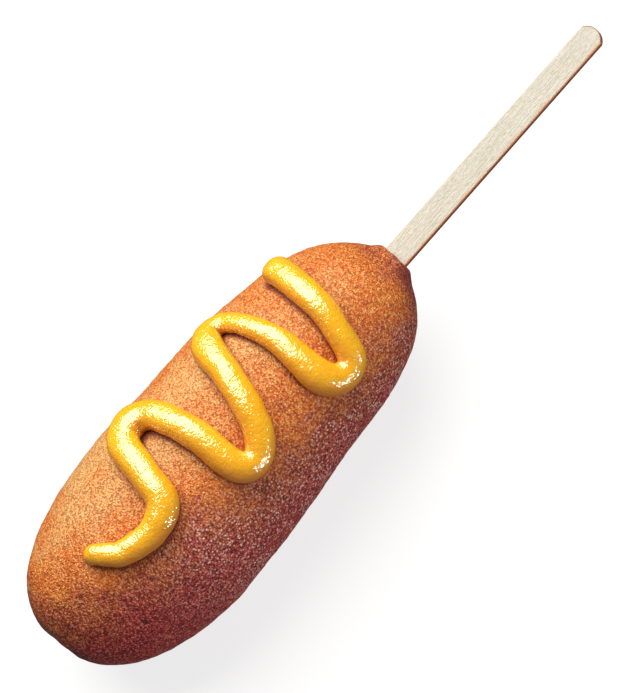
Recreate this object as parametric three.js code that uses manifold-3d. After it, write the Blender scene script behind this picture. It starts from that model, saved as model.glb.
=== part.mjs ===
// A corn dog lying on its side: a browned cornmeal crust round a flat wooden stick,
// with one bead of mustard squeezed in a zigzag along the top.
// Millimetres, +Z up, +X from the rounded tip towards the end of the stick.
import * as THREE from 'three';
import { mergeVertices } from 'three/addons/utils/BufferGeometryUtils.js';
import Module from 'manifold-3d';

// ---------------------------------------------------------------- driving dimensions

// Crust. Stations are measured along the stick from the middle of the crust's length.
const CRUST = {
  tipX: -50.6, // far, fatter end
  widestX: -13.3, // station of the largest radius
  endX: 52.6, // end that the stick comes out of
  radius: 20.9,
  tipPower: 2.33, // superellipse of the far half: a little squarer than an ellipse
  taper: 0.3, // share of the radius lost towards the stick
  taperPower: 1.66,
  bluntPower: 10.8, // how late the stick end turns in
  bluntRound: 0.8,
  rest: 1.4, // depth of the flat spot that it lies on
};
const CRUST_STATIONS = 66;
const CRUST_SIDES = 48;

// Low swells of the crust: height, waves round the body, waves along a metre, phase.
const SWELLS = [
  { height: 0.1, round: 2, along: 17, phase: 0.4 },
  { height: 0.08, round: 3, along: -29, phase: 2.1 },
  { height: 0.08, round: 5, along: 41, phase: 4.0 },
  { height: 0.05, round: 1, along: 63, phase: 1.2 },
];
const SWELL_FADE = 7; // radius within which the swells die out towards each pole

// Sideways wander of the body's middle from the line of the stick: its mean, and a wave.
const SWAY = { offset: 0.1, side: 0.44, along: 12.2, phase: 0.1 };

// Lip of batter that rose round the stick, and the shallow dent in the far end.
const LIP = { height: 0.7, radius: 3.6, width: 1.5 };
const DENT = { depth: 0.9, radius: 4.4, y: -1.0, z: 0.5 };

// Stick: a flat bar with shallow round ends.
const STICK = {
  length: 140,
  width: 5.4,
  thickness: 2.0,
  tipX: 113.1,
  endRadius: 3.0, // arc of each end
  edge: 0.25, // rounding of the long edges
  shift: -0.4, // towards -Y where it leaves the crust
  yaw: THREE.MathUtils.degToRad(-0.47),
};
const CLEARANCE = 0.3; // between neighbouring pieces

// Mustard: one bead squeezed to and fro along a smooth curve through these points. Each
// point has its place on the crust unrolled flat, x along the body and w round it from the
// top line towards -Y, and the bead's half-width there.
const UNROLL_RADIUS = 20;
const ROUTE = [
  [33.4, -15.8, 3.4],
  [34.6, -10.7, 3.2],
  [34.7, 1.2, 3],
  [33.3, 8, 2.8],
  [31.1, 14.4, 3],
  [27.3, 15.4, 3.2],
  [24.3, 11.6, 3.5],
  [24.2, 0.1, 2.7],
  [21.2, -10, 2.2],
  [18, -13.2, 2.6],
  [14.3, -10.9, 3.4],
  [12.4, -1.8, 3.1],
  [8.9, 7.9, 3.1],
  [4.2, 12.1, 3.1],
  [0, 9.9, 3.2],
  [-0.6, 0.3, 3.2],
  [-3.3, -8.9, 3.2],
  [-7.4, -11.5, 3.8],
  [-11.4, -9.4, 3.5],
  [-13.2, -1.3, 3.2],
  [-15, 4.1, 3.4],
  [-20.8, 6, 3],
  [-27.5, 4.4, 2.6],
  [-29.9, 2.1, 2.4],
  [-32.8, -1.4, 1.9],
];
const BEAD = {
  height: 0.84, // half-height as a share of the half-width
  lift: 0.55, // height of the section's centre, as a share of the half-height
  step: 1.5,
  sides: 14,
  capSteps: 4,
};

// ---------------------------------------------------------------- colours and finishes

const crustMaterial = new THREE.MeshStandardMaterial({ color: 0xb86a35, roughness: 0.6 });
const mustardMaterial = new THREE.MeshStandardMaterial({ color: 0xf2b32c, roughness: 0.3 });
const woodMaterial = new THREE.MeshStandardMaterial({ color: 0xe1d9c8, roughness: 0.8 });

// ---------------------------------------------------------------- closed solids

// Closed surface through rows of points, each row a ring, with one point closing each end.
function ringSolid(rings, startPoint, endPoint) {
  const sides = rings[0].length;
  const points = [startPoint, ...rings.flat(), endPoint];
  const last = points.length - 1;
  const at = (row, side) => 1 + row * sides + (side % sides);
  const faces = [];
  for (let side = 0; side < sides; side++) {
    faces.push(0, at(0, side + 1), at(0, side));
    for (let row = 0; row + 1 < rings.length; row++) {
      faces.push(at(row, side), at(row, side + 1), at(row + 1, side + 1));
      faces.push(at(row, side), at(row + 1, side + 1), at(row + 1, side));
    }
    faces.push(at(rings.length - 1, side), at(rings.length - 1, side + 1), last);
  }
  const geometry = new THREE.BufferGeometry().setFromPoints(points);
  geometry.setIndex(faces);
  return geometry;
}

const wasm = await Module();
wasm.setup();

function toSolid(geometry) {
  const bare = geometry.clone();
  bare.deleteAttribute('normal');
  bare.deleteAttribute('uv');
  const merged = mergeVertices(bare, 1e-4);
  return new wasm.Manifold(new wasm.Mesh({
    numProp: 3,
    vertProperties: new Float32Array(merged.attributes.position.array),
    triVerts: new Uint32Array(merged.index.array),
  }));
}

function toGeometry(solid) {
  const mesh = solid.getMesh();
  const geometry = new THREE.BufferGeometry();
  geometry.setAttribute('position', new THREE.BufferAttribute(mesh.vertProperties, 3));
  geometry.setIndex(new THREE.BufferAttribute(mesh.triVerts, 1));
  geometry.computeVertexNormals();
  return geometry;
}

// ---------------------------------------------------------------- crust

// Radius of the plain body at a station: a superellipse towards the tip, and towards the
// stick a slow taper that turns in sharply at the very end.
function crustRadius(x) {
  if (x < CRUST.widestX) {
    const reach = (CRUST.widestX - x) / (CRUST.widestX - CRUST.tipX);
    return CRUST.radius * Math.max(1 - reach ** CRUST.tipPower, 0) ** (1 / CRUST.tipPower);
  }
  const reach = (x - CRUST.widestX) / (CRUST.endX - CRUST.widestX);
  const taper = 1 - CRUST.taper * reach ** CRUST.taperPower;
  const turnIn = Math.max(1 - reach ** CRUST.bluntPower, 0) ** CRUST.bluntRound;
  return CRUST.radius * taper * turnIn;
}

// The outline as a curve, so that its points can be spaced evenly along its length.
class CrustOutline extends THREE.Curve {
  getPoint(t, target = new THREE.Vector2()) {
    const middle = (CRUST.tipX + CRUST.endX) / 2;
    const half = (CRUST.endX - CRUST.tipX) / 2;
    const x = middle - half * Math.cos(Math.PI * t);
    return target.set(x, crustRadius(x));
  }
}

// Outward direction of the outline at a station, as (along, away from the axis).
function outlineNormal(x) {
  const step = 0.02;
  const low = Math.max(x - step, CRUST.tipX);
  const high = Math.min(x + step, CRUST.endX);
  return new THREE.Vector2(crustRadius(low) - crustRadius(high), high - low).normalize();
}

const bump = (distance, width) => Math.exp(-((distance / width) ** 2));

function sway(x) {
  return SWAY.offset + SWAY.side * Math.sin(2 * Math.PI * SWAY.along * x / 1000 + SWAY.phase);
}

// How far the crust stands proud of the plain body at a station, an angle and a radius.
function relief(x, angle, radius) {
  const y = sway(x) - radius * Math.sin(angle);
  const z = radius * Math.cos(angle);
  const fade = Math.min(radius / SWELL_FADE, 1) ** 2;
  let height = 0;
  for (const swell of SWELLS) {
    const turn = swell.round * angle + 2 * Math.PI * swell.along * x / 1000 + swell.phase;
    height += fade * swell.height * Math.sin(turn);
  }
  if (x > CRUST.widestX) {
    const out = Math.hypot(y - STICK.shift, z);
    height += LIP.height * bump(out - LIP.radius, LIP.width);
  } else {
    height -= DENT.depth * bump(Math.hypot(y - DENT.y, z - DENT.z), DENT.radius);
  }
  return height;
}

// Point of the crust's surface, lifted off it by a margin. The angle is measured from the
// top line towards -Y.
function crustPoint(x, angle, margin = 0) {
  const radius = crustRadius(x);
  const normal = outlineNormal(x);
  const height = relief(x, angle, radius) + margin;
  const away = radius + normal.y * height;
  return new THREE.Vector3(x + normal.x * height, sway(x) - away * Math.sin(angle),
    away * Math.cos(angle));
}

function crustGeometry(margin = 0) {
  const outline = new CrustOutline();
  outline.arcLengthDivisions = 2000;
  const stations = outline.getSpacedPoints(CRUST_STATIONS).map((point) => point.x);
  const rings = stations.slice(1, -1).map((x) => Array.from({ length: CRUST_SIDES },
    (_, side) => crustPoint(x, 2 * Math.PI * side / CRUST_SIDES, margin)));
  const tip = crustPoint(CRUST.tipX, 0, margin);
  const end = crustPoint(CRUST.endX, 0, margin);
  return ringSolid(rings, tip, end);
}

// Block that cuts the flat spot: its top face is the level that the crust lies on.
function floorGeometry() {
  const length = 2 * (CRUST.endX - CRUST.tipX);
  const depth = CRUST.radius;
  const block = new THREE.BoxGeometry(length, 4 * CRUST.radius, depth);
  return block.translate(0, 0, CRUST.rest - CRUST.radius - depth / 2);
}

// ---------------------------------------------------------------- stick

// Flat bar with an arc at each end, grown all round by a margin.
function stickGeometry(margin = 0, edge = 0) {
  const half = STICK.width / 2 + margin - edge;
  const radius = STICK.endRadius + margin - edge;
  const arc = Math.asin(half / radius);
  const tipX = STICK.tipX + margin - edge;
  const buttX = STICK.tipX - STICK.length - margin + edge;
  const shape = new THREE.Shape();
  shape.absarc(tipX - radius, 0, radius, -arc, arc, false);
  shape.absarc(buttX + radius, 0, radius, Math.PI - arc, Math.PI + arc, false);
  const thickness = STICK.thickness + 2 * margin - 2 * edge;
  const geometry = new THREE.ExtrudeGeometry(shape, {
    depth: thickness,
    curveSegments: 10,
    bevelEnabled: edge > 0,
    bevelThickness: edge,
    bevelSize: edge,
    bevelSegments: 2,
  });
  geometry.translate(-CRUST.endX, 0, -thickness / 2);
  geometry.rotateZ(STICK.yaw);
  geometry.translate(CRUST.endX, STICK.shift, 0);
  return geometry;
}

// ---------------------------------------------------------------- mustard

// The route as a curve whose third coordinate is the bead's half-width.
function mustardRoute() {
  const points = ROUTE.map(([x, w, half]) => new THREE.Vector3(x, w, half));
  const route = new THREE.CatmullRomCurve3(points, false, 'catmullrom', 0.5);
  route.arcLengthDivisions = 2000;
  return route;
}

// Stations along the bead: even steps, with round caps at both ends, where the section
// shrinks like a circle's chord.
function beadStations(length, firstHalf, lastHalf) {
  const stations = [];
  for (let step = 1; step <= BEAD.capSteps; step++) {
    const turn = Math.PI / 2 * step / BEAD.capSteps;
    stations.push({ at: firstHalf * (1 - Math.cos(turn)), shrink: Math.sin(turn) });
  }
  const steps = Math.round((length - firstHalf - lastHalf) / BEAD.step);
  for (let step = 1; step < steps; step++) {
    const at = THREE.MathUtils.lerp(firstHalf, length - lastHalf, step / steps);
    stations.push({ at, shrink: 1 });
  }
  for (let step = BEAD.capSteps; step >= 1; step--) {
    const turn = Math.PI / 2 * step / BEAD.capSteps;
    stations.push({ at: length - lastHalf * (1 - Math.cos(turn)), shrink: Math.sin(turn) });
  }
  return stations;
}

function mustardGeometry() {
  const route = mustardRoute();
  const length = route.getLength();
  const spotAt = (at) => route.getPointAt(THREE.MathUtils.clamp(at / length, 0, 1));
  const onCrust = (at, margin) => {
    const spot = spotAt(at);
    return crustPoint(spot.x, spot.y / UNROLL_RADIUS, margin);
  };
  const lifted = (at) => onCrust(at, BEAD.lift * BEAD.height * spotAt(at).z);
  const [firstHalf, lastHalf] = [spotAt(0).z, spotAt(length).z];
  const rings = beadStations(length, firstHalf, lastHalf).map(({ at, shrink }) => {
    const half = shrink * spotAt(at).z;
    const centre = lifted(at);
    const forward = lifted(at + BEAD.step).sub(lifted(at - BEAD.step)).normalize();
    const up = onCrust(at, 1).sub(onCrust(at, 0)).normalize();
    const across = new THREE.Vector3().crossVectors(up, forward).normalize();
    up.crossVectors(forward, across);
    return Array.from({ length: BEAD.sides }, (_, side) => {
      const turn = 2 * Math.PI * side / BEAD.sides;
      return centre.clone()
        .addScaledVector(across, half * Math.cos(turn))
        .addScaledVector(up, half * BEAD.height * Math.sin(turn));
    });
  });
  return ringSolid(rings, lifted(0), lifted(length));
}

// ---------------------------------------------------------------- assembly

const pocket = toSolid(stickGeometry(CLEARANCE));
const flatSpot = toSolid(floorGeometry());
const crustSolid = toSolid(crustGeometry()).subtract(pocket).subtract(flatSpot);
const mustardSolid = toSolid(mustardGeometry()).subtract(toSolid(crustGeometry(CLEARANCE)));

function piece(name, geometry, material) {
  const mesh = new THREE.Mesh(geometry, material);
  mesh.name = name;
  return mesh;
}

const cornDog = new THREE.Group();
cornDog.add(piece('crust', toGeometry(crustSolid), crustMaterial));
cornDog.add(piece('stick', stickGeometry(0, STICK.edge), woodMaterial));
cornDog.add(piece('mustard', toGeometry(mustardSolid), mustardMaterial));

// The origin is under the middle of the whole thing, at the level that it lies on.
const box = new THREE.Box3().setFromObject(cornDog);
const middle = box.getCenter(new THREE.Vector3());
cornDog.position.set(-middle.x, -middle.y, -box.min.z);

export default cornDog;
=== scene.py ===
"""A corn dog on a flat wooden stick, dressed over its solid model.

The crust is a turned surface with swells, lumps and a collar round the stick, the mustard
is one bead swept along a smooth route over it, and the stick is a flat bar with round ends
and raised grain. Each surface is worked out with numpy on a grid of two parameters.
Shapes are worked out in millimetres along the stick's own line, and set into the frame,
in metres and +Z up, when they become meshes.
"""

import math

import bmesh
import bpy
import numpy as np
from bpy.props import FloatProperty, FloatVectorProperty, IntProperty, PointerProperty
from mathutils import Matrix, Vector


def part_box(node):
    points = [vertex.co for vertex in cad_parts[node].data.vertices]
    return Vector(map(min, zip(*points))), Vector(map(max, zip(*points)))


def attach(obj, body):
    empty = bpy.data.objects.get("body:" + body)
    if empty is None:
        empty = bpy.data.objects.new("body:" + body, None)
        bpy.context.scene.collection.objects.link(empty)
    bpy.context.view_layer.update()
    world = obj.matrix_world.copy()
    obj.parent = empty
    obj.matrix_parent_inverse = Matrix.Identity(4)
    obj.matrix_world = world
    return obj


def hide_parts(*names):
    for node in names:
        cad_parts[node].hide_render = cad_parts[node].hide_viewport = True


bl_info = {
    "name": "Corn dog",
    "version": (1, 0, 0),
    "blender": (4, 5, 0),
    "location": "3D View > Sidebar > Corn dog",
    "description": "Builds a browned corn dog on a stick with a zigzag of mustard",
    "category": "Add Mesh",
}

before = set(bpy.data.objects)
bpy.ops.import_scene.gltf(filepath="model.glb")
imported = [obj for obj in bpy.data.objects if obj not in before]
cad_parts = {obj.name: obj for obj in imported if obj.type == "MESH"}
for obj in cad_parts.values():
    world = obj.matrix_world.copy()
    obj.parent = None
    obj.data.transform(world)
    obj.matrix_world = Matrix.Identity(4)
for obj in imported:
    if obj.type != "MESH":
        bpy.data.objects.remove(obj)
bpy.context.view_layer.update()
MM = 0.001

# ------------------------------------------------------------ shapes shared with the solids

# Crust: stations in millimetres along the stick from the middle of the crust. TIP_X to
# BLUNT_ROUND, apart from END_X, are a scratch program's fit to the photograph's outline,
# rounded.
TIP_X = -50.6
WIDEST_X = -13.3
END_X = 52.6
CRUST_RADIUS = 20.9
TIP_POWER = 2.33
TAPER = 0.3
TAPER_POWER = 1.66
BLUNT_POWER = 10.8
BLUNT_ROUND = 0.8
REST_DEPTH = 1.4

# Low swells: height, waves round the body, waves along a metre, phase.
SWELLS = (
    (0.10, 2, 17, 0.4),
    (0.08, 3, -29, 2.1),
    (0.08, 5, 41, 4.0),
    (0.05, 1, 63, 1.2),
)
SWELL_FADE = 7.0
SWAY_OFFSET = 0.1
SWAY_SIDE = 0.44
SWAY_ALONG = 12.2
SWAY_PHASE = 0.1
LIP_HEIGHT = 0.7
LIP_RADIUS = 3.6
LIP_WIDTH = 1.5
DENT_DEPTH = 0.9
DENT_RADIUS = 4.4
DENT_MIDDLE = (-1.0, 0.5)

# Fine relief as layers of noise: size of a cell in millimetres, seed, weight.
LUMPS = ((6.5, 11, 1.0), (3.1, 12, 0.6))
GRAINS = ((1.5, 13, 1.0), (0.8, 14, 0.8))
RIDGES = ((0.5, 21, 1.0), (1.1, 22, 1.0))
RIPPLES = ((2.6, 31, 1.0), (1.2, 32, 0.6))

# Stick: it leaves the crust shifted towards -Y, and leans a little.
STICK_LENGTH = 140.0
STICK_TIP_X = 113.1
STICK_END_RADIUS = 3.0
STICK_SHIFT = -0.4
STICK_YAW = math.radians(-0.47)
STICK_SIDES = 96
STICK_STATIONS = 280
STICK_CORNER = 2.0 / 16.0
STICK_THINNING = (0.22, 0.25)
STICK_ARC_RINGS = 14
RIDGE_STRETCH = 0.02
RIDGE_FACE_GAP = 3.0

# Mustard: place on the crust unrolled flat, and the bead's half-width there. These points
# were not chosen by hand: a scratch program fitted them to the photograph's mustard, and
# they were rounded and copied here.
UNROLL_RADIUS = 20.0
ROUTE = (
    (33.4, -15.8, 3.4),
    (34.6, -10.7, 3.2),
    (34.7, 1.2, 3.0),
    (33.3, 8.0, 2.8),
    (31.1, 14.4, 3.0),
    (27.3, 15.4, 3.2),
    (24.3, 11.6, 3.5),
    (24.2, 0.1, 2.7),
    (21.2, -10.0, 2.2),
    (18.0, -13.2, 2.6),
    (14.3, -10.9, 3.4),
    (12.4, -1.8, 3.1),
    (8.9, 7.9, 3.1),
    (4.2, 12.1, 3.1),
    (0.0, 9.9, 3.2),
    (-0.6, 0.3, 3.2),
    (-3.3, -8.9, 3.2),
    (-7.4, -11.5, 3.8),
    (-11.4, -9.4, 3.5),
    (-13.2, -1.3, 3.2),
    (-15.0, 4.1, 3.4),
    (-20.8, 6.0, 3.0),
    (-27.5, 4.4, 2.6),
    (-29.9, 2.1, 2.4),
    (-32.8, -1.4, 1.9),
)

ROUTE_SAMPLES = 40
CAP_RINGS = 10
PRESS_DEPTH = -0.12
# How far the painted shade low on the bead leans to its -X and -Y side.
SHADE_SIDE_SHARE = 0.5

# Painted shadow of the bead on the crust beside it: shift towards -X and -Y, softness, route
# step.
MARGIN_SHIFT = (0.3, 0.45)
MARGIN_EDGE = 0.45
MARGIN_STEP = 0.8

# Photograph: the pixel that shows the middle of the crust's line, the angle of that line in
# the picture, the camera's height above the horizon, and the size of a pixel.
PHOTO_SIZE = (640, 693)
PHOTO_MIDDLE = (223.0, 454.0)
PHOTO_ANGLE = math.radians(49.0)
PHOTO_ELEVATION = math.radians(71.0)
PIXEL_MM = 0.2

# ------------------------------------------------------------ finishes and light

# Browning of the batter, with painted shade on its -Y side and underside, in the sum that
# these work out in metres. The slopes are a scratch program's least-squares fit to the
# tones of 14 spots in the photograph, rounded. The start was set apart from that fit.
BROWNING_AND_SHADE = {"y": -37.0, "y along": 580.0, "z": -57.0, "along": -4.0, "start": 0.26}
PATCHES = {"scale": 95.0, "share": 1.5}
BLOTCHES = {"scale": 330.0, "share": 0.9}
TONES = (("tan", -1.3, -0.4), ("brown", -0.5, 0.3), ("maroon", 0.15, 0.75))
DARK_TONE = (-0.35, 0.45)

# Collar's lower side, with painted shade in the crease where the stick goes in, and far tip's
# upper side: where each begins and ends, in metres.
COLLAR_SHADE_SPAN = (0.0045, 0.0005)
COLLAR_SHADE_SIDE = (-0.001, -0.006)
COLLAR_SHADE_SHARE = 0.4
TIP_SPAN = (-0.022, -0.047)
TIP_SIDE = (-0.008, 0.006)
TIP_SHARE = 0.35

# Grain of the batter: waves per metre, and where pits and peaks begin and end. The pits'
# darker tint is partly painted shade in the grain's hollows.
GRAIN_SCALE = 2600.0
RUBBLE_SCALE = 1500.0
GRAIN_PARTS = {"dome": 0.45, "shade": 0.5, "rubble": 0.75}
PITS = (1.0, 0.72)
PEAKS = (0.94, 1.3)
# Painted glints on grains where the batter is dark: waves per metre, size in a cell, choice of
# cells, reach from the far shoulder, and gap before the mouth in metres.
PAINTED_GLINT_SCALE = 1750.0
PAINTED_GLINT_SIZE = (0.52, 0.24)
PAINTED_GLINT_CHOICE = (0.4, 0.62)
PAINTED_GLINT_REACH = (-0.036, -0.01)
PAINTED_GLINT_FROM_MOUTH = 0.009
PAINTED_SHADOW_SHARE = 0.8

# Mustard: waves per metre, where the browner tone and painted shade low on the bead end and
# begin, and depth of the crinkle.
MUSTARD_CLOUD_SCALE = 160.0
CRINKLE_SCALE = 1300.0
FINE_CRINKLE_SCALE = 2600.0
CRINKLE_DEPTH = 0.00018
SHADED_FOOT = (0.95, -0.1)

# Stick: waves per metre and shrinking along the grain, then places in metres.
STREAK_SCALE, STREAK_SHRINK = 4600.0, 0.03
FIBRE_SCALE, FIBRE_SHRINK = 6000.0, 0.16
TOAST_SCALE = 260.0
WOOD_DEPTH = 0.0002
WALL = (0.00258, 0.00266)
# Lower part of the long walls, where shade is painted on the browned edges.
LOWER_WALL = (0.0007, 0.0001)
WARM_BAND = (-0.0021, -0.0026)
RIM_BAND = (0.00272, 0.00285)
RIM_START = (0.0017, 0.0013)

# Stage: places and sizes in metres, and tints.
FLOOR_REACH = 2.0
FLOOR_GLOW = 0.78
LIGHT_AIM = (-0.03, 0.0, 0.02)
KEY_PLACE, KEY_SIZE, KEY_TINT = (0.20, 0.48, 0.70), (1.0, 1.0), (1.0, 0.98, 0.95)
GLINT_PLACE, GLINT_SIZE, GLINT_TINT = (0.15, -0.62, 0.12), (0.04, 0.03), (1.0, 0.93, 0.93)
SKY_TINT = (0.95, 0.97, 1.0)
SENSOR_WIDTH = 36.0

MERGE_DISTANCE = 0.5e-6


# ------------------------------------------------------------ settings

def colour(name, red, green, blue, description):
    """A colour property from screen values between 0 and 255."""
    return FloatVectorProperty(
        name=name, description=description, subtype="COLOR", size=3, min=0.0, max=1.0,
        default=tuple(screen_to_linear(part / 255) for part in (red, green, blue)))


def screen_to_linear(part):
    """Light that a screen gives for one colour channel: the usual curve, part by part."""
    if part <= 0.04045:
        return part / 12.92
    return ((part + 0.055) / 1.055) ** 2.4


class CrustSettings(bpy.types.PropertyGroup):
    """Sizes and colours of the browned crust."""

    stations: IntProperty(name="Stations", description="Rings along the crust", default=300,
                          min=40)
    sides: IntProperty(name="Sides", description="Points round each ring", default=312, min=24)
    lump_height: FloatProperty(name="Lumps", description="Height of the soft lumps",
                               default=0.00012, unit="LENGTH")
    grain_height: FloatProperty(name="Grain", description="Height of the modelled grain",
                                default=0.00006, unit="LENGTH")
    bump_height: FloatProperty(name="Fine grain", description="Depth of the finest grain",
                               default=0.00028, unit="LENGTH")
    golden: colour("Golden", 220, 160, 91, "Lightly fried batter")
    tan: colour("Tan", 218, 112, 14, "Evenly browned batter")
    brown: colour("Brown", 178, 70, 30, "Well fried batter")
    # Maroon is the darkest brown of the batter and also painted shade low down on the -Y side.
    maroon: colour("Maroon", 182, 44, 44, "Darkest batter, low down")
    # Flecks on the grain's peaks: partly pale cornmeal, partly painted sheen; on dark batter
    # partly painted glints.
    fleck: colour("Flecks", 255, 216, 132, "Pale grains of cornmeal")
    dull_fleck_and_glint: colour("Dull flecks", 244, 158, 124, "Grains where the batter is dark")
    painted_glints: colour("Painted glints", 255, 216, 198, "Painted glints on grains where the batter is dark")
    painted_shadow: colour("Painted shadow margin", 122, 42, 26, "Painted shadow of the mustard on the batter")
    # Tints of the pits: partly the pores' own tone, partly painted shade in the grain's
    # hollows.
    pore_and_shade: colour("Pores", 186, 146, 110, "Tint of the pits between grains")
    deep_pore_and_shade: colour("Deep pores", 126, 86, 92, "Tint of the pits in dark batter")


class MustardSettings(bpy.types.PropertyGroup):
    """Sizes and colours of the mustard."""

    height_share: FloatProperty(name="Height", description="Half-height over half-width",
                                default=0.78, min=0.3, max=1.2)
    lift_share: FloatProperty(name="Lift", description="Height of the middle over half-height",
                              default=0.72, min=0.0, max=1.0)
    step: FloatProperty(name="Step", description="Distance between rings",
                        default=0.00034, unit="LENGTH")
    sides: IntProperty(name="Sides", description="Points round each ring", default=56, min=12)
    ripple: FloatProperty(name="Ripple", description="Height of ripples in the bead",
                          default=0.00009, unit="LENGTH")
    yellow: colour("Yellow", 255, 188, 18, "Body of the mustard")
    amber: colour("Amber", 250, 168, 14, "Deeper tone in thick places")
    shaded_foot: colour("Foot", 206, 116, 38, "Browner low on the bead where it is thin, and painted shade on its -X and -Y side")


class StickSettings(bpy.types.PropertyGroup):
    """Sizes and colours of the wooden stick."""

    width: FloatProperty(name="Width", description="Across the flat face", default=0.0054,
                         unit="LENGTH")
    thickness: FloatProperty(name="Thickness", description="Between the faces",
                             default=0.002, unit="LENGTH")
    grain: FloatProperty(name="Grain", description="Depth of the raised grain",
                         default=0.00002, unit="LENGTH")
    pale: colour("Pale wood", 206, 201, 188, "Face of the stick")
    streak: colour("Streaks", 184, 176, 156, "Darker lines of grain")
    warm: colour("Warm edge", 206, 150, 96, "Toasted patches beside the edges")
    edge: colour("Edge", 124, 60, 46, "Browned edges, with painted shade below")
    toast: colour("Toasted line", 255, 176, 116, "Upper line of the long edges")
    rim: colour("Rim", 156, 88, 46, "Toasted rim of the round end")


class StageSettings(bpy.types.PropertyGroup):
    """Floor, lights and camera."""

    floor: colour("Floor", 138, 138, 138, "Plain pale floor, which also glows a little")
    key_power: FloatProperty(name="Key light", description="Power of the main light",
                             default=16.8, unit="POWER")
    glint_power: FloatProperty(name="Glint light", description="Power of the low light",
                               default=1.7, unit="POWER")
    sky: FloatProperty(name="Sky", description="Strength of the light all round", default=0.13)
    lens: FloatProperty(name="Lens", description="Focal length in millimetres",
                        default=800.0)


# ------------------------------------------------------------ shared maths

def smooth_step(value, low, high):
    """0 below low, 1 above high, and an even ease between them."""
    share = np.clip((value - low) / (high - low), 0.0, 1.0)
    return share * share * (3.0 - 2.0 * share)


def bell(distance, width):
    """1 at no distance, falling away like a bell."""
    return np.exp(-(distance / width) ** 2)


def value_noise(points, size, seed):
    """Soft noise from -1 to 1: random values on a cubic lattice with cells of one size,
    blended between the eight corners of each point's cell by an even ease."""
    lattice = np.random.default_rng(seed).uniform(-1.0, 1.0, (64, 64, 64))
    place = points / size + 1000.0
    cell = np.floor(place).astype(int)
    share = place - cell
    share = share * share * (3.0 - 2.0 * share)
    total = np.zeros(len(points))
    for corner in np.ndindex(2, 2, 2):
        index = (cell + corner) % 64
        weight = np.prod(np.where(corner, share, 1.0 - share), axis=1)
        total += weight * lattice[index[:, 0], index[:, 1], index[:, 2]]
    return total


def layered_noise(points, layers):
    """Noise of several sizes, each times its weight, added up."""
    return sum(weight * value_noise(points, size, seed) for size, seed, weight in layers)


def closed_tube(rings):
    """Vertices and faces of a closed surface through rings of points, with a pole at the
    middle of each end ring. The rings run clockwise seen from the last one."""
    count, sides, _ = rings.shape
    vertices = np.vstack([rings[:1].mean(axis=1), rings.reshape(-1, 3),
                          rings[-1:].mean(axis=1)])
    side = np.arange(sides)
    following = (side + 1) % sides
    row = 1 + sides * np.arange(count - 1)[:, None]
    walls = np.stack([row + side, row + following,
                      row + sides + following, row + sides + side], axis=-1).reshape(-1, 4)
    last = 1 + sides * (count - 1)
    first_cap = np.stack([np.zeros(sides, int), 1 + following, 1 + side], axis=-1)
    last_cap = np.stack([np.full(sides, len(vertices) - 1), last + side, last + following],
                        axis=-1)
    return vertices, [*walls.tolist(), *first_cap.tolist(), *last_cap.tolist()]


# ------------------------------------------------------------ crust surface

def crust_radius(x):
    """Radius of the plain body: a superellipse towards the tip, and towards the stick a slow
    taper times a sharp turn-in at the very end."""
    to_tip = np.clip((WIDEST_X - x) / (WIDEST_X - TIP_X), 0.0, 1.0)
    to_end = np.clip((x - WIDEST_X) / (END_X - WIDEST_X), 0.0, 1.0)
    tip_half = (1.0 - to_tip ** TIP_POWER) ** (1.0 / TIP_POWER)
    turn_in = (1.0 - to_end ** BLUNT_POWER) ** BLUNT_ROUND
    return CRUST_RADIUS * np.where(x < WIDEST_X, tip_half,
                                   (1.0 - TAPER * to_end ** TAPER_POWER) * turn_in)


def crust_normal(x):
    """Outward direction of the outline, as its share along the body and away from it."""
    low = np.maximum(x - 0.02, TIP_X)
    high = np.minimum(x + 0.02, END_X)
    along = crust_radius(low) - crust_radius(high)
    away = high - low
    length = np.hypot(along, away)
    return along / length, away / length


def sway(x):
    """Sideways wander of the body's middle from the line of the stick: one slow wave."""
    return SWAY_OFFSET + SWAY_SIDE * np.sin(2 * np.pi * SWAY_ALONG * x * MM + SWAY_PHASE)


def crust_relief(x, angle):
    """Height above the plain body: four waves, the lip round the stick, the far dent."""
    radius = crust_radius(x)
    y = sway(x) - radius * np.sin(angle)
    z = radius * np.cos(angle)
    fade = np.minimum(radius / SWELL_FADE, 1.0) ** 2
    height = np.zeros(np.broadcast(x, angle).shape)
    for swell, waves, along, phase in SWELLS:
        height += fade * swell * np.sin(waves * angle + 2 * np.pi * along * x * MM + phase)
    lip = LIP_HEIGHT * bell(np.hypot(y - STICK_SHIFT, z) - LIP_RADIUS, LIP_WIDTH)
    dent = DENT_DEPTH * bell(np.hypot(y - DENT_MIDDLE[0], z - DENT_MIDDLE[1]), DENT_RADIUS)
    return height + np.where(x > WIDEST_X, lip, -dent)


def crust_point(x, angle, margin=0.0):
    """Point of the crust at a station and an angle from the top line towards -Y: the plain
    body's point, moved along the outline's outward direction by the relief and a margin."""
    along, away = crust_normal(x)
    height = crust_relief(x, angle) + margin
    radius = crust_radius(x) + away * height
    return np.stack([x + along * height, sway(x) - radius * np.sin(angle),
                     radius * np.cos(angle)], axis=-1)


def even_stations(count):
    """Stations from tip to end, spaced evenly along the crust's outline."""
    turn = np.linspace(0.0, np.pi, 4001)
    x = (TIP_X + END_X) / 2 - (END_X - TIP_X) / 2 * np.cos(turn)
    steps = np.hypot(np.diff(x), np.diff(crust_radius(x)))
    length = np.concatenate([[0.0], np.cumsum(steps)])
    return np.interp(np.linspace(0.0, length[-1], count), length, x)


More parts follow.
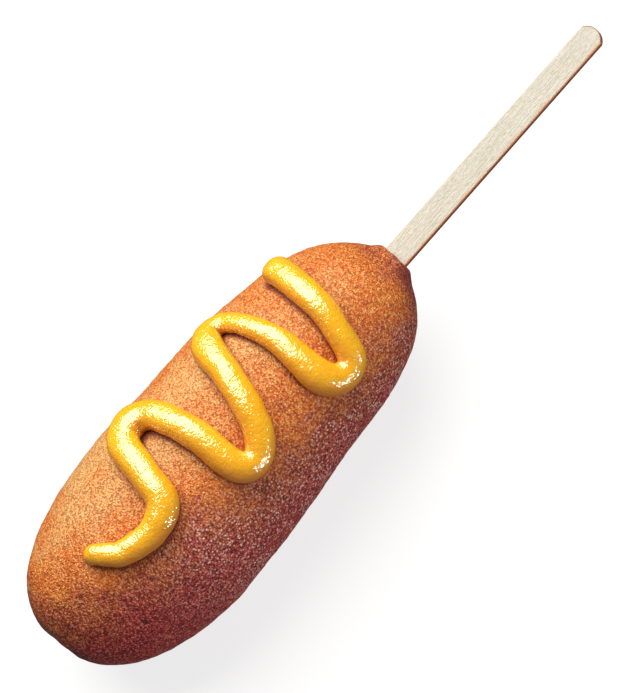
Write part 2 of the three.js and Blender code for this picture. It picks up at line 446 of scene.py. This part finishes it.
def crust_rings(settings):
    """Rings of the fine crust: the shared surface with lumps and grain from soft noise in
    three dimensions, cut level where it lies. With them goes each point's share of the
    painted shadow beside the mustard."""
    x = even_stations(settings.stations)[1:-1, None]
    angle = (2 * np.pi / settings.sides * np.arange(settings.sides))[None, :]
    plain = crust_point(x, angle).reshape(-1, 3)
    height = (settings.lump_height * layered_noise(plain, LUMPS)
              + settings.grain_height * layered_noise(plain, GRAINS)) / MM
    rings = crust_point(x, angle, height.reshape(len(x), -1))
    rings[..., 2] = np.maximum(rings[..., 2], REST_DEPTH - CRUST_RADIUS)
    return rings, painted_shadow_margin(x, angle)


def painted_shadow_margin(x, angle):
    """How much painted shadow the crust gets beside the mustard, from 0 to 1: the bead's
    footprint on the crust unrolled flat, moved a little towards -X and -Y, with a soft border."""
    turn = (angle + np.pi) % (2 * np.pi) - np.pi
    along, beside = np.broadcast_arrays(x + MARGIN_SHIFT[0],
                                        turn * UNROLL_RADIUS - MARGIN_SHIFT[1])
    _, spots, shrink = route_curve(MARGIN_STEP)
    inside = np.full(along.shape, -np.inf)
    for (spot_x, spot_w, half), share in zip(spots, shrink):
        away = np.hypot(along - spot_x, beside - spot_w)
        inside = np.maximum(inside, half * share - away)
    return smooth_step(inside, -MARGIN_EDGE, MARGIN_EDGE)


# ------------------------------------------------------------ stick surface

def stick_rings(settings):
    """Rings of the stick: rounded rectangles whose width follows the straight sides and the
    arc of each end, a little thinner at the ends, with fine ridges along the faces."""
    half_width = settings.width / MM / 2
    half_thick = settings.thickness / MM / 2
    butt_x = STICK_TIP_X - STICK_LENGTH
    sag = STICK_END_RADIUS - math.sqrt(STICK_END_RADIUS ** 2 - half_width ** 2)
    arc = sag * (1.0 - np.cos(np.linspace(0.0, np.pi / 2, STICK_ARC_RINGS)))
    middle = np.linspace(butt_x + sag, STICK_TIP_X - sag, STICK_STATIONS)
    x = np.concatenate([butt_x + arc[:-1], middle, (STICK_TIP_X - arc[:-1])[::-1]])
    from_end = np.minimum(x - butt_x, STICK_TIP_X - x)
    chord = np.sqrt(np.maximum(STICK_END_RADIUS ** 2
                               - (STICK_END_RADIUS - np.minimum(from_end, sag)) ** 2, 0.0))
    width = np.minimum(chord, half_width)[:, None]
    turn = (2 * np.pi / STICK_SIDES * np.arange(STICK_SIDES))[None, :]
    y = width * np.sign(np.cos(turn)) * np.abs(np.cos(turn)) ** STICK_CORNER
    z = half_thick * np.sign(np.sin(turn)) * np.abs(np.sin(turn)) ** STICK_CORNER
    thinning, reach = STICK_THINNING
    z = z * (1.0 - thinning * bell(from_end, reach))[:, None]
    along = np.broadcast_to(x[:, None], y.shape)
    flat = np.stack([along * RIDGE_STRETCH, y, np.sign(z) * RIDGE_FACE_GAP], axis=-1)
    ridges = layered_noise(flat.reshape(-1, 3), RIDGES)
    z = z + np.sign(z) * (settings.grain / MM * (ridges.reshape(y.shape) - 1.0))
    from_mouth = along - END_X
    return np.stack([END_X + from_mouth * math.cos(STICK_YAW) - y * math.sin(STICK_YAW),
                     STICK_SHIFT + from_mouth * math.sin(STICK_YAW) + y * math.cos(STICK_YAW),
                     z], axis=-1)


# ------------------------------------------------------------ mustard surface

def route_curve(step):
    """The route as a dense curve: a uniform Catmull-Rom spline through the points, whose
    third coordinate is the half-width. Gives the distance along it at each ring, the point
    there, and the share of the half-width, which rounds off both ends like a ball."""
    points = np.array(ROUTE)
    ends = np.vstack([2 * points[0] - points[1], points, 2 * points[-1] - points[-2]])
    share = np.linspace(0.0, 1.0, ROUTE_SAMPLES, endpoint=False)[:, None]
    stretches = []
    for before, here, ahead, after in zip(ends, ends[1:], ends[2:], ends[3:]):
        leave = (ahead - before) / 2
        arrive = (after - here) / 2
        bend = -3 * here + 3 * ahead - 2 * leave - arrive
        twist = 2 * here - 2 * ahead + leave + arrive
        stretches.append(here + leave * share + bend * share ** 2 + twist * share ** 3)
    dense = np.vstack([*stretches, points[-1:]])
    length = np.concatenate([[0.0], np.cumsum(np.hypot(*np.diff(dense[:, :2], axis=0).T))])
    first, last = points[0, 2], points[-1, 2]
    cap = 1.0 - np.cos(np.linspace(0.0, np.pi / 2, CAP_RINGS))[1:]
    steps = int((length[-1] - first - last) / step)
    body = np.linspace(first, length[-1] - last, steps)
    at = np.concatenate([first * cap[:-1], body, (length[-1] - last * cap[:-1])[::-1]])
    shrink = np.sqrt(np.clip(1 - np.clip(1 - at / first, 0, 1) ** 2, 0, 1)
                     * np.clip(1 - np.clip(1 - (length[-1] - at) / last, 0, 1) ** 2, 0, 1))
    spots = np.stack([np.interp(at, length, part) for part in dense.T], axis=-1)
    return at, spots, shrink


def unit(vectors):
    """Vectors of length one."""
    return vectors / np.linalg.norm(vectors, axis=-1, keepdims=True)


def mustard_rings(settings):
    """Rings of the bead: ellipses square to the route, lifted off the crust, swollen and
    pinched by noise, with what would sink into the crust pressed flat against it. With them
    goes each point's height on the bead, from -1 at the crust to 1 on top, raised towards
    +X and +Y, which places painted shade low on the bead and on its -X and -Y side."""
    at, spots, shrink = route_curve(settings.step / MM)
    x, w, half = spots.T
    angle = w / UNROLL_RADIUS
    height = settings.height_share
    centre = crust_point(x, angle, settings.lift_share * height * half)
    forward = unit(np.gradient(centre, at, axis=0))
    up = unit(crust_point(x, angle, 1.0) - crust_point(x, angle))
    across = unit(np.cross(up, forward))
    up = np.cross(forward, across)
    turn = 2 * np.pi / settings.sides * np.arange(settings.sides)
    size = (half * shrink)[:, None, None]
    spread = across[:, None] * np.cos(turn)[:, None]
    rise = up[:, None] * np.sin(turn)[:, None] * height
    plain = centre[:, None] + size * (spread + rise)
    ripple = settings.ripple / MM * layered_noise(plain.reshape(-1, 3), RIPPLES)
    ripple = ripple.reshape(plain.shape[:2])[..., None]
    rings = plain + unit(spread + rise) * ripple * shrink[:, None, None]
    shade = np.sin(turn) + SHADE_SIDE_SHARE * unit(spread + rise)[..., :2].sum(axis=-1)
    return press_on_crust(rings, PRESS_DEPTH), shade


def press_on_crust(points, depth):
    """Points moved outward, away from the body's middle line, until none lies lower than a
    depth against the crust's surface."""
    x = points[..., 0]
    side = sway(x) - points[..., 1]
    angle = np.arctan2(side, points[..., 2])
    radius = np.hypot(side, points[..., 2])
    surface = crust_point(x, angle)
    floor = np.hypot(surface[..., 1] - sway(x), surface[..., 2]) + depth
    scale = np.maximum(radius, floor) / radius
    return np.stack([x, sway(x) - side * scale, points[..., 2] * scale], axis=-1)


# ------------------------------------------------------------ meshes

def frame_offset():
    """Where the shared line's origin is in the frame, in millimetres: the middle of the
    stick's box in the frame, less the middle of the same stick worked out here."""
    corners = np.array(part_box("stick")) / MM
    rings = stick_rings(bpy.context.scene.corn_dog_stick).reshape(-1, 3)
    middle = (rings.min(axis=0) + rings.max(axis=0)) / 2
    return corners.mean(axis=0) - middle


def add_piece(name, rings, material, node, shade=None):
    """A shade for each point of the rings becomes the attribute of that name."""
    vertices, faces = closed_tube(rings)
    mesh = bpy.data.meshes.new(name)
    mesh.from_pydata(((vertices + frame_offset()) * MM).tolist(), [], faces)
    if shade is not None:
        values = np.concatenate([[shade[0].mean()], shade.ravel(), [shade[-1].mean()]])
        mesh.attributes.new("shade", "FLOAT", "POINT").data.foreach_set("value", values)
    shell = bmesh.new()
    shell.from_mesh(mesh)
    bmesh.ops.remove_doubles(shell, verts=shell.verts, dist=MERGE_DISTANCE)
    bmesh.ops.recalc_face_normals(shell, faces=shell.faces)
    shell.to_mesh(mesh)
    shell.free()
    mesh.shade_smooth()
    mesh.materials.append(material)
    piece = bpy.data.objects.new(name, mesh)
    bpy.context.scene.collection.objects.link(piece)
    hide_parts(node)
    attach(piece, "root")


# ------------------------------------------------------------ materials

class Socket:
    """One output of a node. Maths on sockets and numbers adds Math nodes."""

    def __init__(self, finish, link):
        self.finish = finish
        self.link = link

    def maths(self, operation, *values):
        """A Math node of one operation on this socket and other values."""
        sockets = dict(enumerate((self, *values)))
        return self.finish.node("ShaderNodeMath", {"operation": operation}, sockets)

    def __add__(self, other):
        return self.maths("ADD", other)

    def __radd__(self, other):
        return self.maths("ADD", other)

    def __sub__(self, other):
        return self.maths("SUBTRACT", other)

    def __rsub__(self, other):
        return (self * -1.0) + other

    def __mul__(self, other):
        return self.maths("MULTIPLY", other)

    def __rmul__(self, other):
        return self.maths("MULTIPLY", other)

    def __abs__(self):
        return self.maths("ABSOLUTE")


class Finish:
    """A material under construction, with a method for the nodes that it is made of."""

    def __init__(self, name):
        self.material = bpy.data.materials.new(name)
        self.material.use_nodes = True
        self.tree = self.material.node_tree
        self.tree.nodes.clear()

    def node(self, kind, settings=None, sockets=None, output=None):
        """Adds a node: first its settings, then the values or links of its sockets."""
        made = self.tree.nodes.new(kind)
        for name, value in (settings or {}).items():
            setattr(made, name, value)
        for name, value in (sockets or {}).items():
            target = find_socket(made.inputs, name)
            if isinstance(value, Socket):
                self.tree.links.new(value.link, target)
            else:
                target.default_value = fit_value(target, value)
        if not made.outputs:
            return None
        return Socket(self, find_socket(made.outputs, output or 0))

    def place(self, turn=(0, 0, 0), scale=(1, 1, 1)):
        """The object's own coordinates in metres, turned and stretched."""
        own = self.node("ShaderNodeTexCoord", output="Object")
        return self.node("ShaderNodeMapping", {"vector_type": "POINT"}, {
            "Vector": own, "Rotation": turn, "Scale": scale})

    def shade(self):
        """The piece's own value at each point, from its attribute of this name."""
        return self.node("ShaderNodeAttribute", {"attribute_name": "shade"}, output="Fac")

    def noise(self, place, scale, detail=2.0, roughness=0.5):
        """Noise between 0 and 1, with its scale in waves per metre."""
        return self.node("ShaderNodeTexNoise", {"noise_dimensions": "3D"}, {
            "Vector": place, "Scale": scale, "Detail": detail, "Roughness": roughness})

    def cells(self, place, scale, output="Distance"):
        """Scattered points: the distance to the nearest one, or its own random shade."""
        return self.node("ShaderNodeTexVoronoi", {"feature": "F1"}, {
            "Vector": place, "Scale": scale}, output)

    def ease(self, value, low, high):
        """0 at low, 1 at high, and an even ease between them."""
        return self.node("ShaderNodeMapRange", {"interpolation_type": "SMOOTHSTEP"}, {
            "Value": value, "From Min": low, "From Max": high})

    def mix(self, share, first, second, blend="MIX"):
        """A blend of two colours."""
        return self.node("ShaderNodeMix", {"data_type": "RGBA", "blend_type": blend}, {
            "Factor": share, "A": first, "B": second})

    def axes(self, place):
        """The three parts of a place."""
        made = self.tree.nodes.new("ShaderNodeSeparateXYZ")
        self.tree.links.new(place.link, made.inputs[0])
        return [Socket(self, part) for part in made.outputs]

    def bump(self, height, distance):
        """A normal that follows a height."""
        return self.node("ShaderNodeBump", {}, {
            "Height": height, "Distance": distance, "Strength": 1.0})

    def surface(self, sockets):
        """The main shader and the output."""
        shader = self.node("ShaderNodeBsdfPrincipled", {}, sockets)
        self.node("ShaderNodeOutputMaterial", {}, {"Surface": shader})
        return self.material


def find_socket(sockets, name):
    """A socket by its place, or the first one in use by its name."""
    if isinstance(name, int):
        return [socket for socket in sockets if socket.enabled][name]
    return next(socket for socket in sockets if socket.name == name and socket.enabled)


def fit_value(target, value):
    """A value in the form that a socket takes: colours get their fourth part."""
    if target.type == "RGBA":
        return (*value, 1.0)[:4]
    return value


def browning_and_shade(finish, place, collar):
    """How brown the batter is, with painted shade added, about 0 where brown begins: a sum that
    rises away from the top and from +Y, more so towards the far tip, plus patches, blotches,
    the painted shade of the collar's lower side and the far tip's upper side."""
    x, y, z = finish.axes(place)
    along = x - frame_offset()[0] * MM
    brown_and_shade = (y * (along * BROWNING_AND_SHADE["y along"] + BROWNING_AND_SHADE["y"]) + z * BROWNING_AND_SHADE["z"]
            + along * BROWNING_AND_SHADE["along"] + BROWNING_AND_SHADE["start"])
    brown_and_shade = brown_and_shade + finish.noise(place, PATCHES["scale"], 3.0, 0.55) * PATCHES["share"]
    brown_and_shade = brown_and_shade + finish.noise(place, BLOTCHES["scale"], 3.0, 0.6) * BLOTCHES["share"]
    tip = finish.ease(along, *TIP_SPAN) * finish.ease(y, *TIP_SIDE)
    return brown_and_shade + collar * COLLAR_SHADE_SHARE + tip * TIP_SHARE


def painted_glint_grains(finish, place, x):
    """Scattered grains with painted glints: near the middle of a cell, in some cells only,
    from the far shoulder to just before the collar."""
    mouth = Vector(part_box("crust")[1]).x
    near = finish.ease(finish.cells(place, PAINTED_GLINT_SCALE), *PAINTED_GLINT_SIZE)
    chosen = finish.ease(finish.cells(place, PAINTED_GLINT_SCALE, "Color"), *PAINTED_GLINT_CHOICE)
    reach = finish.ease(x - frame_offset()[0] * MM, *PAINTED_GLINT_REACH)
    return near * chosen * reach * finish.ease(x, mouth, mouth - PAINTED_GLINT_FROM_MOUTH)


def crust_finish(settings):
    """Fried batter: golden above, browner towards the far tip, and darker on the lower sides,
    there partly brown and partly painted shade; mottled, with pale grains and dark pores that
    are partly painted highlight and shade, painted glints on grains where it is dark, and
    painted shadow beside the mustard."""
    finish = Finish("fried_batter")
    place = finish.place()
    x, y, _ = finish.axes(place)
    mouth = Vector(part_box("crust")[1]).x
    # Painted shade in the crease on the collar's lower side, round the stick.
    collar = finish.ease(x, *(mouth - span for span in COLLAR_SHADE_SPAN))
    collar = collar * finish.ease(y, *COLLAR_SHADE_SIDE)
    # Brown tone together with painted shade, darker towards -Y and below.
    brown_and_shade = browning_and_shade(finish, place, collar)
    base = tuple(settings.golden)
    for tone, low, high in TONES:
        base = finish.mix(finish.ease(brown_and_shade, low, high), base, tuple(getattr(settings, tone)))
    spread = finish.cells(place, GRAIN_SCALE)
    shade = finish.cells(place, GRAIN_SCALE, "Color")
    rubble = finish.noise(place, RUBBLE_SCALE, 2.0, 0.6)
    dome = 1.0 - spread * spread
    grain = (dome * GRAIN_PARTS["dome"] + shade * GRAIN_PARTS["shade"]
             + rubble * GRAIN_PARTS["rubble"])
    pits = finish.ease(grain, *PITS)
    peaks = finish.ease(grain, *PEAKS)
    dark = finish.ease(brown_and_shade, *DARK_TONE)
    # Pits: partly painted shade in the grain's hollows, deepest where the batter is dark.
    hollow_and_shade = finish.mix(dark, tuple(settings.pore_and_shade), tuple(settings.deep_pore_and_shade))
    crumb_and_sheen = finish.mix(dark, tuple(settings.fleck), tuple(settings.dull_fleck_and_glint))
    pitted = finish.mix(1.0, base, hollow_and_shade, "MULTIPLY")
    base = finish.mix(pits * (dark * 0.2 + 0.8), base, pitted)
    # Peaks: pale flecks, partly painted sheen, stronger where the batter is dark.
    base = finish.mix(peaks * (dark * 0.12 + 0.52), base, crumb_and_sheen)
    # Painted glints: bright colour on scattered grains where the batter is dark.
    painted_glint = painted_glint_grains(finish, place, x) * dark
    base = finish.mix(painted_glint * 0.9, base, tuple(settings.painted_glints))
    # Painted shadow beside the mustard and painted shade in the crease at the collar.
    shadow_paint = finish.shade().maths("MAXIMUM", collar)
    base = finish.mix(shadow_paint * PAINTED_SHADOW_SHARE, base, tuple(settings.painted_shadow))
    height = dome * (0.5 + shade * 0.5) + rubble * 0.9
    return finish.surface({
        "Base Color": base, "Roughness": 0.62 - peaks * 0.36 - painted_glint * 0.1,
        "Normal": finish.bump(height, settings.bump_height),
        "Specular IOR Level": 0.6, "IOR": 1.5})


def mustard_finish(settings):
    """Prepared mustard: bright yellow, deeper in places, browner low down with painted shade on
    its -X and -Y side, and glossy with a fine crinkle."""
    finish = Finish("yellow_mustard")
    place = finish.place()
    soft = finish.noise(place, MUSTARD_CLOUD_SCALE)
    fine = finish.noise(place, FINE_CRINKLE_SCALE, 0.0)
    crinkle = finish.noise(place, CRINKLE_SCALE, 1.0)
    base = finish.mix(finish.ease(soft, 0.35, 0.7) * 0.5, tuple(settings.yellow),
                      tuple(settings.amber))
    # Painted shade low on the bead, stronger on its -X and -Y side, with a browner thin border.
    shaded_foot = finish.ease(finish.shade(), *SHADED_FOOT)
    base = finish.mix(shaded_foot * 0.7, base, tuple(settings.shaded_foot))
    return finish.surface({
        "Base Color": base, "Roughness": 0.06 + fine * 0.08,
        "Normal": finish.bump(crinkle * 0.8 + fine * 0.35, CRINKLE_DEPTH),
        "Subsurface Weight": 0.25, "Subsurface Radius": (1.0, 0.55, 0.15),
        "Subsurface Scale": 0.0015, "Specular IOR Level": 1.0,
        "Specular Tint": (1.0, 0.99, 0.78), "IOR": 1.8})


def stick_finish(settings):
    """Bare pale wood: fine lines of grain along it, its long edges toasted and darker below as
    painted shade, warm patches beside the -Y side, and a toasted rim round its free end."""
    finish = Finish("pale_birch")
    low, high = (Vector(corner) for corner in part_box("stick"))
    middle = (low + high) / 2
    place = finish.place()
    lined = finish.place(turn=(0, 0, -STICK_YAW), scale=(STREAK_SHRINK, 1.0, 1.0))
    flecked = finish.place(turn=(0, 0, -STICK_YAW), scale=(FIBRE_SHRINK, 1.0, 1.0))
    streaks = finish.noise(lined, STREAK_SCALE, 2.0, 0.7)
    fibres = finish.noise(flecked, FIBRE_SCALE, 1.0, 0.6)
    x, y, z = finish.axes(place)
    lean = (x - (END_X + frame_offset()[0]) * MM) * math.tan(STICK_YAW)
    across = y - lean - (STICK_SHIFT + frame_offset()[1]) * MM
    side = abs(across)
    wall = finish.ease(side, *WALL)
    below = finish.ease(z, *(middle.z + height for height in LOWER_WALL))
    warm = finish.ease(across, *WARM_BAND)
    warm = warm * finish.ease(finish.noise(place, TOAST_SCALE), 0.45, 0.6)
    into_end = x - (high.x - STICK_END_RADIUS * MM)
    reach = (into_end * into_end + side * side).maths("SQRT")
    rim = finish.ease(reach, *RIM_BAND) * finish.ease(x, *(high.x - back for back in RIM_START))
    base = finish.mix(finish.ease(streaks * 0.5 + fibres * 0.5, 0.38, 0.6),
                      tuple(settings.streak), tuple(settings.pale))
    base = finish.mix(warm * 0.5, base, tuple(settings.warm))
    base = finish.mix(wall * 0.9, base, tuple(settings.toast))
    # Toasted long edges, darker on the lower part of the walls as painted shade.
    base = finish.mix(wall * below * (0.7 + fibres * 0.4), base, tuple(settings.edge))
    base = finish.mix(rim * 0.85, base, tuple(settings.rim))
    return finish.surface({
        "Base Color": base, "Roughness": 0.62 + fibres * 0.2,
        "Normal": finish.bump(streaks * 0.6 + fibres * 0.6, WOOD_DEPTH),
        "Specular IOR Level": 0.3, "IOR": 1.45})


def floor_finish(settings):
    """Plain pale floor with the faintest unevenness."""
    finish = Finish("pale_floor")
    cloud = finish.noise(finish.place(), 2.0, 1.0)
    base = finish.mix(cloud * 0.04, tuple(settings.floor), (0.3, 0.3, 0.3))
    return finish.surface({
        "Base Color": base, "Roughness": 0.9, "Specular IOR Level": 0.0,
        "Emission Color": (1.0, 1.0, 1.0), "Emission Strength": FLOOR_GLOW})


# ------------------------------------------------------------ operators

class CORNDOG_OT_crust(bpy.types.Operator):
    """Builds the browned crust"""

    bl_idname = "corn_dog.crust"
    bl_label = "Crust"

    def execute(self, context):
        settings = context.scene.corn_dog_crust
        rings, shade = crust_rings(settings)
        add_piece("browned_crust", rings, crust_finish(settings), "crust", shade)
        return {"FINISHED"}


class CORNDOG_OT_stick(bpy.types.Operator):
    """Builds the wooden stick"""

    bl_idname = "corn_dog.stick"
    bl_label = "Stick"

    def execute(self, context):
        settings = context.scene.corn_dog_stick
        add_piece("wooden_stick", stick_rings(settings), stick_finish(settings),
                  "stick")
        return {"FINISHED"}


class CORNDOG_OT_mustard(bpy.types.Operator):
    """Builds the mustard zigzag"""

    bl_idname = "corn_dog.mustard"
    bl_label = "Mustard"

    def execute(self, context):
        settings = context.scene.corn_dog_mustard
        rings, shade = mustard_rings(settings)
        add_piece("mustard_zigzag", rings, mustard_finish(settings), "mustard",
                  shade)
        return {"FINISHED"}


class CORNDOG_OT_stage(bpy.types.Operator):
    """Sets the floor, the lights and the camera"""

    bl_idname = "corn_dog.stage"
    bl_label = "Stage"

    def execute(self, context):
        settings = context.scene.corn_dog_stage
        add_floor(settings)
        add_lights(settings)
        add_camera(settings)
        context.scene.view_settings.view_transform = "Standard"
        return {"FINISHED"}


def add_floor(settings):
    """A wide level floor under the part."""
    corners = [(x * FLOOR_REACH, y * FLOOR_REACH, 0)
               for x, y in ((-1, -1), (1, -1), (1, 1), (-1, 1))]
    mesh = bpy.data.meshes.new("floor")
    mesh.from_pydata(corners, [], [(0, 1, 2, 3)])
    mesh.materials.append(floor_finish(settings))
    floor = bpy.data.objects.new("floor", mesh)
    floor.visible_diffuse = False
    floor.visible_glossy = False
    bpy.context.scene.collection.objects.link(floor)


def add_area(name, place, size, power, tint):
    """A rectangular area light at a place, facing the crust."""
    light = bpy.data.lights.new(name, "AREA")
    light.shape = "RECTANGLE"
    light.size, light.size_y = size
    light.energy = power
    light.color = tint
    lamp = bpy.data.objects.new(name, light)
    lamp.visible_camera = False
    lamp.location = place
    lamp.rotation_euler = (Vector(place) - Vector(LIGHT_AIM)).to_track_quat("Z", "Y").to_euler()
    bpy.context.scene.collection.objects.link(lamp)


def add_lights(settings):
    """A broad soft key from the +Y side above, a low light for glints, and a pale sky."""
    add_area("key", KEY_PLACE, KEY_SIZE, settings.key_power, KEY_TINT)
    add_area("glint", GLINT_PLACE, GLINT_SIZE, settings.glint_power, GLINT_TINT)
    world = bpy.data.worlds.new("pale_sky")
    world.use_nodes = True
    background = world.node_tree.nodes["Background"]
    background.inputs["Color"].default_value = (*SKY_TINT, 1.0)
    background.inputs["Strength"].default_value = settings.sky
    bpy.context.scene.world = world


def add_camera(settings):
    """A long lens at the photograph's angle, so far off that one pixel of the photograph's
    frame is its real size at the middle of the crust."""
    width, height = PHOTO_SIZE
    right_mm = (width / 2 - PHOTO_MIDDLE[0]) * PIXEL_MM
    down_mm = (height / 2 - PHOTO_MIDDLE[1]) * PIXEL_MM
    tilt = math.pi / 2 - PHOTO_ELEVATION
    along = Vector((1.0, 0.0, 0.0))
    beside = Vector((0.0, -math.cos(tilt), -math.sin(tilt)))
    right = along * math.cos(PHOTO_ANGLE) + beside * math.sin(PHOTO_ANGLE)
    down = along * -math.sin(PHOTO_ANGLE) + beside * math.cos(PHOTO_ANGLE)
    back = right.cross(-down)
    middle = Vector(frame_offset()) + right * right_mm + down * down_mm
    camera = bpy.data.cameras.new("camera")
    camera.lens = settings.lens
    camera.sensor_width = SENSOR_WIDTH
    distance = max(PHOTO_SIZE) * PIXEL_MM * settings.lens / camera.sensor_width
    camera.clip_start = 0.01
    camera.clip_end = 3 * distance * MM
    holder = bpy.data.objects.new("camera", camera)
    turn = Matrix((right, -down, back)).transposed().to_4x4()
    holder.matrix_world = Matrix.Translation((middle + back * distance) * MM) @ turn
    bpy.context.scene.collection.objects.link(holder)
    bpy.context.scene.camera = holder


class CORNDOG_PT_panel(bpy.types.Panel):
    """Lists the pieces and their settings"""

    bl_label = "Corn dog"
    bl_space_type = "VIEW_3D"
    bl_region_type = "UI"
    bl_category = "Corn dog"

    def draw(self, context):
        for operator, group in OPERATORS:
            self.layout.operator(operator.bl_idname)
            settings = getattr(context.scene, group)
            for name in settings.__annotations__:
                self.layout.prop(settings, name)


OPERATORS = (
    (CORNDOG_OT_stage, "corn_dog_stage"),
    (CORNDOG_OT_crust, "corn_dog_crust"),
    (CORNDOG_OT_stick, "corn_dog_stick"),
    (CORNDOG_OT_mustard, "corn_dog_mustard"),
)
SETTINGS = {
    "corn_dog_stage": StageSettings,
    "corn_dog_crust": CrustSettings,
    "corn_dog_stick": StickSettings,
    "corn_dog_mustard": MustardSettings,
}


def register():
    """Registers the settings, the operators and the panel."""
    for name, group in SETTINGS.items():
        bpy.utils.register_class(group)
        setattr(bpy.types.Scene, name, PointerProperty(type=group))
    for operator, _ in OPERATORS:
        bpy.utils.register_class(operator)
    bpy.utils.register_class(CORNDOG_PT_panel)


def unregister():
    """Takes the panel, the operators and the settings away again."""
    bpy.utils.unregister_class(CORNDOG_PT_panel)
    for operator, _ in reversed(OPERATORS):
        bpy.utils.unregister_class(operator)
    for name, group in SETTINGS.items():
        delattr(bpy.types.Scene, name)
        bpy.utils.unregister_class(group)


def main():
    """Builds every piece."""
    register()
    bpy.ops.corn_dog.stage()
    bpy.ops.corn_dog.crust()
    bpy.ops.corn_dog.stick()
    bpy.ops.corn_dog.mustard()


if __name__ == "__main__":
    main()
